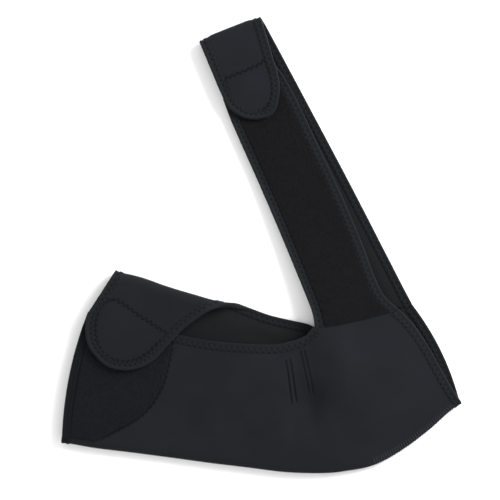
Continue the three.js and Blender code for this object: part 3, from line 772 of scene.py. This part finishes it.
def jersey(wale, course):
    """Plain knit: columns of V shaped loops. Each loop's legs lean from the column's middle, and the
    columns are parted by grooves. Both are sines of the distance, in mm."""

    def pattern(tree, place):
        """The knit's height, with fuzz over it."""
        uv = add(tree, "SeparateXYZ", {0: place.outputs["UV"]})
        leg = add(tree, "Math", {0: uv, 1: wale / 2}, operation="PINGPONG")
        rise = add(tree, "Math", {0: leg, 1: 1.3, 2: uv.outputs[1]}, operation="MULTIPLY_ADD")
        waves = []
        for distance, pitch in ((rise, course), (leg, wale)):
            turn = add(tree, "Math", {0: distance, 1: 2 * math.pi / pitch}, operation="MULTIPLY")
            waves.append(add(tree, "Math", {0: turn}, operation="SINE"))
        loops = add(tree, "Math", {0: waves[0], 1: 0.15, 2: 0.35}, operation="MULTIPLY_ADD")
        knit = add(tree, "Math", {0: loops, 1: waves[1]}, operation="MULTIPLY")
        spot = place.outputs["Object"]
        fuzz = add(tree, "TexNoise", {"Vector": spot, "Scale": JERSEY_FUZZ / MM, "Detail": 2.0})
        return add(tree, "Math", {0: fuzz, 1: 0.6, 2: knit}, operation="MULTIPLY_ADD")

    return pattern


def ribs(pitch):
    """Knitted tape: fine ribs across its run, with a little fuzz."""

    def pattern(tree, place):
        """A sine along the tape's run, over the fuzz."""
        uv = add(tree, "SeparateXYZ", {0: place.outputs["UV"]})
        turn = add(tree, "Math", {0: uv, 1: 2 * math.pi / pitch}, operation="MULTIPLY")
        rib = add(tree, "Math", {0: turn}, operation="SINE")
        spot = place.outputs["Object"]
        fuzz = add(tree, "TexNoise", {"Vector": spot, "Scale": TAPE_FUZZ / MM, "Detail": 2.0})
        return add(tree, "Math", {0: rib, 1: 0.2, 2: fuzz}, operation="MULTIPLY_ADD")

    return pattern


def needle_hole_dips_and_shade(tree, place):
    """Oval dips at the turns of the binding's zigzag, from UV: length along the edge, and reach. They are
    bump, and are painted near black as the shade in the needle holes. Each fades by the sum of the squares
    of both distances in shares of its half sizes."""
    uv = add(tree, "SeparateXYZ", {0: place.outputs["UV"]})
    from_outer = add(tree, "Math", {0: uv, 1: STITCH_PITCH / 2}, operation="PINGPONG")
    from_inner = add(tree, "Math", {0: STITCH_PITCH / 2, 1: from_outer}, operation="SUBTRACT")
    found = []
    for along, row, half_length, half_width in (
        (from_outer, OUTER_ROW, 0.9, 1.2),
        (from_inner, INNER_ROW, 1.3, 0.6),
    ):
        off = add(tree, "Math", {0: uv.outputs[1], 1: row}, operation="SUBTRACT")
        squares = {}
        for k, (distance, reach) in enumerate(((along, half_length), (off, half_width))):
            share = add(tree, "Math", {0: distance, 1: reach}, operation="DIVIDE")
            squares[k] = add(tree, "Math", {0: share, 1: share}, operation="MULTIPLY")
        found.append(add(tree, "Math", squares, operation="ADD"))
    nearest = add(tree, "Math", {0: found[0], 1: found[1]}, operation="MINIMUM")
    return add(tree, "MapRange", {0: nearest, 1: 0.3, 2: 1.4, 3: 0.8, 4: 0.0})


def crease_dips_and_shade(tree, place):
    """Where the cloth is drawn in along a dart and painted near black as the shade in its crease, from the
    mesh's own values.
    """
    return add(tree, "Attribute", attribute_name="CreaseDipAndShade").outputs["Fac"]


def tufts(tree, place):
    """Brushed loop pile: round tufts of uneven size in a mat of fine fibres."""
    cells = add(tree, "TexVoronoi", {"Vector": place.outputs["Object"], "Scale": TUFTS / MM}, feature="F1")
    mat = add(tree, "TexNoise", {"Vector": place.outputs["Object"], "Scale": PILE_MAT / MM, "Detail": 4.0})
    tuft = add(tree, "Math", {0: cells, 1: 0.35}, operation="MULTIPLY")
    return add(tree, "Math", {0: mat, 1: 0.8, 2: tuft}, operation="MULTIPLY_ADD")


def thread_twist(tree, place):
    """Sewing thread: even, with a faint grain."""
    return add(tree, "TexNoise", {"Vector": place.outputs["Object"], "Scale": TWIST / MM})


# Nylon jersey laminated on foam rubber: matt, faintly blue black, with a soft light rim where it
# turns away. Its wales are about 0.5 mm apart, and are drawn at 0.9 mm, so that they show.
# Its dart lines are painted near black as the shade in their creases.
neoprene = cloth_material(
    "neoprene_nylon_jersey", "#101114", "#191a1f", 0.85, 0.08, jersey(0.9, 0.8), 0.16, 0.5, shaded_dips=crease_dips_and_shade,
    inner="#151618",
)
# Brushed nylon loop pile: darker than the jersey, because its loops trap the light. Its yarn is the
# same nylon as single loops, which stand up out of the pile and catch a little light. The strap's is
# a neutral black, and the wrist's patch is faintly blue.
strap_loops = cloth_material("nylon_loop_pile", "#080809", "#111114", 0.95, 0.04, tufts, 0.6, 0.25)
strap_loop_yarn = cloth_material("nylon_loop_yarn", "#0e0e10", "#1b1b1f", 0.8, 0.07, thread_twist, 0.02)
wrist_loops = cloth_material("nylon_loop_pile_blue", "#090a0c", "#141619", 0.95, 0.05, tufts, 0.6, 0.25)
wrist_loop_yarn = cloth_material("nylon_loop_yarn_blue", "#121417", "#24262b", 0.8, 0.08, thread_twist, 0.02)
# Moulded nylon hooks on woven tape, seen only from below the flaps.
hook_tape = cloth_material("nylon_hook_tape", "#0e0e0f", "#171718", 0.6, 0.05, tufts, 0.4)
# Knitted polyester binding tape: neutral black, its ribs 0.7 mm apart, its needle holes painted near black
# as shade.
binding_tape = cloth_material(
    "polyester_binding_tape", "#0f1012", "#15171a", 0.75, 0.12, ribs(0.7), 0.1, shaded_dips=needle_hole_dips_and_shade
)
# The same tape at the wrist, where it is matt and hardly differs from the pile beside it.
wrist_tape = cloth_material("polyester_binding_tape_matt", "#0a0b0d", "#121417", 0.95, 0.06, ribs(0.7), 0.2)
# Spun polyester thread of the binding's zigzag, the tape's own black.
binding_thread = cloth_material(
    "polyester_binding_thread", "#0e0f11", "#131518", 0.8, 0.05, thread_twist, 0.02
)
# Thin nylon thread that oversews the seams, drawn grey, lighter than the other threads.
seam_thread = cloth_material("nylon_seam_thread", "#25262b", "#3a3b42", 0.7, 0.1, thread_twist, 0.02)
# Spun polyester sewing thread, deeper black, sunk into the cloth.
thread = cloth_material("polyester_sewing_thread", "#08080a", "#0f0f11", 0.8, 0.0, thread_twist, 0.02)


# The pouch


def rows_over(start, inner, end, roll_at, span, roll_rows, flap_rows):
    """Each column's rows past the start: close ones over the roll, even ones down the flap to the
    tape's inner line, and three under the tape to the free edge. All lie on the straight line of
    shares from the start to that inner line."""
    curled = smooth((inner[:, 1] - roll_at) / span, 1, 2)
    count = roll_rows + flap_rows
    rows = []
    for step in range(1, count + 1):
        on_roll = roll_at + span * step / roll_rows
        on_flap = blend(roll_at + span, inner[:, 1], (step - roll_rows) / flap_rows)
        along = on_roll if step <= roll_rows else on_flap
        straight = (along - start[:, 1]) / (inner[:, 1] - start[:, 1])
        rows.append(blend(start, inner, blend(step / count, straight, curled)[:, None]))
    return rows + [blend(inner, end, share) for share in (0.34, 0.67, 1.0)]


def folded_grid(across, rows, over):
    """A grid's two shares: first its even rows at each column's own share, then those over its fold."""
    p = np.concatenate([np.broadcast_to(across[:, None], rows.shape)] + [o[:, :1] for o in over], axis=1)
    q = np.concatenate([rows] + [o[:, 1:] for o in over], axis=1)
    return p, q


def pouch_grid(at):
    """The shares of the whole pouch: each column runs down the front wall, round the bottom fold, up
    the back wall, and over the wrist flap's fold to the free edge."""
    s = section(at)
    end = pouch_edge(at)
    inner = inside_edge(pouch, pouch_edge, at, TAPE_WIDTH)
    inner[0] = [0, end[0, 1] - TAPE_WIDTH / s["back_length"][0]]
    margin = 2 * TAPE_WIDTH * smooth(at, BARE_FROM, FLAP_END) / s["back_length"]
    start = pair(at, 3 - margin)
    span = math.pi * s["roll"] / s["back_length"]
    over = rows_over(start, inner, end, 3, span, 12, 34)
    front = steps(0.0, (0.06, 3), (1.0, 46), (2.0, 12))
    wall = 2 + (start[:, 1:] - 2) * np.linspace(0, 1, 41)[1:]
    rows = np.concatenate([np.broadcast_to(front, (len(at), len(front))), wall], axis=1)
    return folded_grid(at, rows, over)


def mark(piece, name, outer, inner):
    """Stores a value for each point of a sheet's outer face, then of its inner face."""
    values = np.concatenate([outer.ravel(), inner.ravel()])
    piece.data.attributes.new(name, "FLOAT", "POINT").data.foreach_set("value", values)


def sheet_piece(name, node, surface, grid, low, high, material):
    """A closed sheet over a grid of a surface's shares, which stands for its CAD node."""
    points, faces, uv = shell(surface, *grid, low, high)
    piece = mesh_piece(name, points, faces, material, uv)
    mark(piece, "Lining", np.zeros(grid[0].shape), np.ones(grid[0].shape))
    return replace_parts(piece, node)


def mark_crease_shade(piece, p, q):
    """Stores how near each point of the front wall's outer face lies to a dart's line: the share by which
    its bump is drawn in and its colour is painted near black as crease shade.
    """
    plan = pouch(p, q)[..., :2]
    near = sum(groove(plan[..., 0], plan[..., 1], *dart) for dart in zip(*DART_LINES.values()))
    mark(piece, "CreaseDipAndShade", np.where(q < 1, np.clip(near, 0, 1), 0), np.zeros(p.shape))


def bound_edge(name, surface, shares, cloth_side, material=binding_tape):
    """A stretch of binding tape, which stands for its CAD node, and its stitches."""
    walk = Walk(surface, shares, cloth_side)
    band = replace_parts(tape(name + "_tape", walk, material), name + "_binding")
    return [band, tape_stitches(name + "_stitches", walk, binding_thread)]


columns = steps(
    0.0,
    (WRIST_INSET, 4),
    (FLAP_END - FLAP_CLIMB, 56),
    (FLAP_END, 22),
    (SPLIT, 18),
    (0.575, 14),
    (0.672, 66),
    (NOTCH - TAPE_TRIM, 5),
    (1.0, 48),
)
pouch_shares = pouch_grid(columns)
pouch_cloth = sheet_piece(
    "pouch_cloth", "arm_pouch", pouch, pouch_shares, -HALF, HALF, neoprene
)
mark_crease_shade(pouch_cloth, *pouch_shares)

wrist_route = pair(0, steps(0.0, (1.0, 30), (2.0, 12), (2.999, 30)))
flap_side = pair(0, steps(3.004, (pouch_edge(np.array([0.0]))[0, 1] - 0.002, 40)))
flap_route = np.concatenate([flap_side, pouch_edge(steps(0.0005, (0.02, 6), (SPLIT, 120)))])
opening_route = pouch_edge(steps(SPLIT - 0.001, (NOTCH - TAPE_TRIM, 40)))
front_route = pair(steps(1.3 * WRIST_INSET, (NOTCH + 0.01, 90)), 0)
pouch_trim = [
    *bound_edge("wrist", pouch, wrist_route, 1, wrist_tape),
    *bound_edge("flap", pouch, flap_route, 1),
    *bound_edge("back_opening", pouch, opening_route, 1),
    *bound_edge("front_opening", pouch, front_route, -1),
    *bound_edge("front_elbow", pouch, pair(1, steps(0.0, (1.0, 40), (1.5, 8))), -1),
    *bound_edge("back_elbow", pouch, pair(1, steps(1.5, (2.0, 8), (3.0, 40))), -1),
]


def hook_patch(surface, edge, start, end, count, edge_share):
    """A hook patch's shares: straight lines from its start line to a reach inside the free edge."""
    share = np.linspace(0, 1, count)
    last = inside_edge(surface, edge, edge_share * blend(end[0], end[1], share), 1.3 * TAPE_WIDTH)
    left, right = np.array(start) * [edge_share, 1]
    grid = blend(blend(left, right, share[:, None])[:, None], last[:, None], np.linspace(0, 1, 24)[:, None])
    return grid[..., 0], grid[..., 1]


wrist_hooks = sheet_piece(
    "wrist_hooks", "wrist_hook_patch", pouch,
    hook_patch(pouch, pouch_edge, [[0.14, 3.24], [0.56, 3.3]], [0.1, 0.62], 30, FLAP_END),
    -HALF - SEAT - PILE, -HALF - PILE_SKIN, hook_tape,
)

pile_rows = np.linspace(0.08, 0.995, 56)
pile_share = np.linspace(0, 1, 46)[:, None]
pile_grid = (blend(0.88 * WRIST_INSET, column(PILE_EDGE, "across", pile_rows), pile_share),
             np.broadcast_to(pile_rows, (46, 56)))
wrist_pile = sheet_piece(
    "wrist_pile", "wrist_loop_pile", pouch, pile_grid,
    HALF + PILE_SKIN, HALF + PILE_TOP, wrist_loops,
)


def yarn_loops(name, surface, p, q, face, base, material):
    """Single loops that stand up out of a pile: small parabolic arches, turned and leaning every way."""
    point, _, _, normal = touch(surface, p, q)
    normal = normal * face
    side = unit(np.cross(normal, [0.02, 1.0, 0.03]))
    over = np.cross(normal, side)
    count = len(p)
    turn = chance.uniform(0, 2 * math.pi, count)
    out = side * np.cos(turn)[:, None] + over * np.sin(turn)[:, None]
    lean = side * chance.normal(0, 0.35, count)[:, None] + over * chance.normal(0, 0.35, count)[:, None]
    width, height = chance.uniform(0.8, 1.7, count), chance.uniform(0.3, 0.95, count)
    share = np.linspace(-0.5, 0.5, 5)
    arch = 1 - (2 * share) ** 2
    path = (point + normal * base)[:, None] + out[:, None] * (width[:, None] * share)[..., None]
    path = path + (normal * height[:, None] + lean)[:, None] * arch[:, None]
    return threads(name, path, np.repeat(normal[:, None], 5, axis=1), YARN, material, sides=3, taper=1.0)


at, along = chance.uniform(WRIST_INSET, 0.244, 9500), chance.uniform(0.085, 0.99, 9500)
kept = at < column(PILE_EDGE, "across", along) - 0.004
wrist_yarn = yarn_loops("wrist_pile_yarn", pouch, at[kept], along[kept], 1, YARN_FOOT, wrist_loop_yarn)

# The straps

front_columns = steps(0.0, (STRAP_INSET, 4), (1 - STRAP_INSET, 24), (1.0, 4))
front_grid = np.meshgrid(front_columns, steps(0.0, (0.12, 24), (1.0, 110)), indexing="ij")
front_cloth = sheet_piece(
    "front_strap_cloth", "front_strap", front_strap, front_grid, -HALF, HALF, neoprene
)
strap_along = steps(0.0, (1.0, 140))
strap_end = pair(steps(STRAP_INSET, (1 - STRAP_INSET, 16)), 1)
strap_route = np.concatenate([pair(0, strap_along), strap_end, pair(1, strap_along[::-1])])
front_trim = bound_edge("front_strap", front_strap, strap_route, 1)
pile_columns = np.linspace(0.95 * STRAP_INSET, 1 - 0.95 * STRAP_INSET, 30)
strap_pile = sheet_piece(
    "strap_pile", "strap_loop_pile", front_strap,
    np.meshgrid(pile_columns, np.linspace(-0.0075, 0.9, 120), indexing="ij"),
    -HALF - PILE_TOP, -HALF - PILE_SKIN, strap_loops,
)
across = chance.uniform(0.98 * STRAP_INSET, 1 - 0.98 * STRAP_INSET, 7600)
along = chance.uniform(-0.006, 0.895, 7600)
strap_yarn = yarn_loops("strap_pile_yarn", front_strap, across, along, -1, YARN_FOOT, strap_loop_yarn)


def back_strap_grid(across):
    """The shares of the back strap: up the leg, over the top fold and down the tab."""
    end = tab_end(across)
    inner = inside_edge(back_strap, tab_end, across, TAPE_WIDTH)
    for k in (0, -1):
        inner[k] = [end[k, 0], end[k, 1] - TAPE_WIDTH / LEG_LENGTH]
    over = rows_over(pair(across, 1), inner, end, 1, math.pi * TAB_ROLL / LEG_LENGTH, 12, 34)
    leg = steps(0.0, (0.12, 20), (1.0, 100))
    return folded_grid(across, np.broadcast_to(leg, (len(across), len(leg))), over)


back_grid = back_strap_grid(np.linspace(0, 1, 37))
back_cloth = sheet_piece(
    "back_strap_cloth", "back_strap", back_strap, back_grid, -HALF, HALF, neoprene
)
side_shares = pair(*back_grid)
back_route = np.concatenate([side_shares[0], tab_end(np.linspace(0, 1, 60)[1:-1]), side_shares[-1, ::-1]])
back_trim = bound_edge("back_strap", back_strap, back_route, 1)
strap_hooks = sheet_piece(
    "strap_hooks", "strap_hook_patch", back_strap,
    hook_patch(back_strap, tab_end, [[0.16, 1.17], [0.8, 1.17]], [0.06, 0.94], 24, 1),
    -HALF - SEAT - PILE, -HALF - PILE_SKIN, hook_tape,
)

# Sewn lines


def sew(name, *found, radius=SEWING_THREAD, material=thread):
    """One piece of thread from the paths and normals of several sewn lines."""
    paths, normals = (np.concatenate(both) for both in zip(*found))
    return threads(name, paths, normals, radius, material)


# Points of the flaps' sewn lines in mm on the laid out brace, as far to the right as x and as far
# down as y from a corner that lies 64 mm left of the wrist's foot and 472.5 mm above the fold
DRAWN_CORNER = (64, 472.5)
FLAP_LINE = [
    (117, 299), (125, 304), (131, 308), (140, 315), (150, 321), (157, 326), (165, 331), (170, 334),
]
FLAP_CURVE = [
    (117, 299), (108, 302), (102, 308), (98, 317), (97, 329), (99, 342), (104, 352), (111, 358),
    (121, 361.5), (132, 361.5), (142, 358), (151, 352), (158, 345), (165, 339), (170, 334),
]
TAB_LINE = [(226, 80), (231, 78), (251, 70), (261, 65), (267, 61)]
TAB_CURVE = [
    (267, 62), (270, 70), (273, 79), (274, 91), (272, 102), (266, 109.5), (256, 114.5), (248, 113.5),
    (241, 109.5), (235, 103.5), (231, 95), (227, 84), (226, 80),
]


def drawn_line(surface, points, guess, width, height):
    """A zigzag on a flap along one of those lines."""
    line = (np.array(points) - DRAWN_CORNER) * [1, -1]
    return sewn_line(surface, line, guess, STITCH_PITCH / 2, width, height)


pile_at = np.linspace(0.02, 1, 60)
pile_line = pouch(column(PILE_EDGE, "across", pile_at) + 0.002, pile_at)[2:-1, :2]
pile_sewing = sew(
    "wrist_pile_sewing", sewn_line(pouch, pile_line, (0.2, 0.6), STITCH_PITCH / 2, 2.8, HALF + 0.75)
)
flap_sewing = sew(
    "wrist_flap_sewing",
    drawn_line(pouch, FLAP_LINE, (0.2, 3.35), 4.4, HALF + 0.15),
    drawn_line(pouch, FLAP_CURVE, (0.2, 3.5), 3.6, HALF + 0.2),
)
tab_sewing = sew(
    "tab_sewing",
    drawn_line(back_strap, TAB_LINE, (0.5, 1.25), 4.0, HALF + 0.15),
    drawn_line(back_strap, TAB_CURVE, (0.5, 1.35), 3.4, HALF + 0.2),
)
dart_sewing = sew(
    "dart_sewing",
    *[
        sewn_line(pouch, [(x0, y0), (x1, y1)], (0.6, 0.2), 2.3, 0, HALF + 0.05)
        for x0, y0, x1, y1, _ in zip(*DART_LINES.values())
    ],
    radius=DART_THREAD,
)


def cross_seam(pouch_along, pouch_height, strap, strap_along, strap_height):
    """A zigzag over a strap's seam, from a row of points on the pouch to a row on the strap and back."""
    shares = np.linspace(0.12, 0.9, 34)
    low, _, _, out = touch(pouch, blend(NOTCH, 1, shares), np.full_like(shares, pouch_along))
    high, _, _, strap_out = touch(strap, shares, np.full_like(shares, strap_along))
    low = low + out * pouch_height
    high = high + strap_out * strap_height
    path = np.empty((2 * len(shares) - 2, 5, 3))
    share = np.linspace(0, 1, 5)[:, None]
    path[0::2] = blend(low[:-1, None], high[:-1, None], share)
    path[1::2] = blend(high[:-1, None], low[1:, None], share)
    normal = np.repeat(out[:-1] * np.sign(pouch_height), 2, axis=0)[:, None].repeat(5, axis=1)
    return path + normal * SUNK_ENDS[:, None], normal


seam_sewing = sew(
    "strap_seam_sewing",
    cross_seam(0.027, HALF, front_strap, -0.002, -HALF - 0.75),
    cross_seam(2.984, -HALF, back_strap, 0.008, -HALF),
    cross_seam(2.984, HALF, back_strap, 0.008, HALF),
    radius=THREAD, material=binding_thread,
)
# Slanting stitches over the elbow's fold, from the front wall round to the back wall
turn = np.linspace(0, 1, 9)
whip = pair(np.linspace(0.788, 0.997, 37)[:, None] + 0.004 * (turn - 0.5), blend(0.976, 2.024, turn))
point, _, _, normal = touch(pouch, whip[..., 0], whip[..., 1])
over_fold = HALF + np.array([-0.3, 0.1, 0.22, 0.22, 0.22, 0.22, 0.22, 0.1, -0.3])
elbow_sewing = sew(
    "elbow_seam_sewing", (point + normal * over_fold[:, None], normal), radius=THREAD, material=seam_thread
)

# Floor, light and camera


def simple_material(name, code, roughness):
    """One even colour."""
    made = bpy.data.materials.new(name)
    made.use_nodes = True
    shader = made.node_tree.nodes["Principled BSDF"]
    shader.inputs["Base Color"].default_value = colour(code)
    shader.inputs["Roughness"].default_value = roughness
    return made


# A matt white paper sweep, lit to the camera's white.
paper = simple_material("matt_white_paper", "#f4f4f4", 0.9)
floor_mesh = bpy.data.meshes.new("floor")
floor_mesh.from_pydata([(-4, -4, 0), (4, -4, 0), (4, 4, 0), (-4, 4, 0)], [], [(0, 1, 2, 3)])
floor_mesh.materials.append(paper)
floor = bpy.data.objects.new("floor", floor_mesh)
bpy.context.scene.collection.objects.link(floor)

world = bpy.data.worlds.new("studio")
bpy.context.scene.world = world
world.use_nodes = True
world.node_tree.nodes["Background"].inputs["Color"].default_value = (1, 1, 1, 1)
world.node_tree.nodes["Background"].inputs["Strength"].default_value = 1.15


def softbox(name, place, aim, size, power):
    """A square area light that looks at a point."""
    lamp = bpy.data.lights.new(name, "AREA")
    lamp.size, lamp.energy = size, power
    made = bpy.data.objects.new(name, lamp)
    made.location = place
    away = np.array(aim) - np.array(place)
    made.rotation_mode = "QUATERNION"
    made.rotation_quaternion = Vector(away).to_track_quat("-Z", "Y")
    bpy.context.scene.collection.objects.link(made)


softbox("key", (1.2, 0.8, 1.1), (0, 0, 0), 0.9, 45)

CAMERA_HEIGHT = 2.6
VIEW_WIDTH = 0.5  # what the picture spans at the height of the upper walls
VIEW_HEIGHT = 0.008
camera_data = bpy.data.cameras.new("camera")
camera = bpy.data.objects.new("camera", camera_data)
camera_data.lens = camera_data.sensor_width * (CAMERA_HEIGHT - VIEW_HEIGHT) / VIEW_WIDTH
camera.location = (-0.011, -0.005, CAMERA_HEIGHT)
bpy.context.scene.collection.objects.link(camera)
bpy.context.scene.camera = camera
bpy.context.scene.view_settings.view_transform = "Standard"
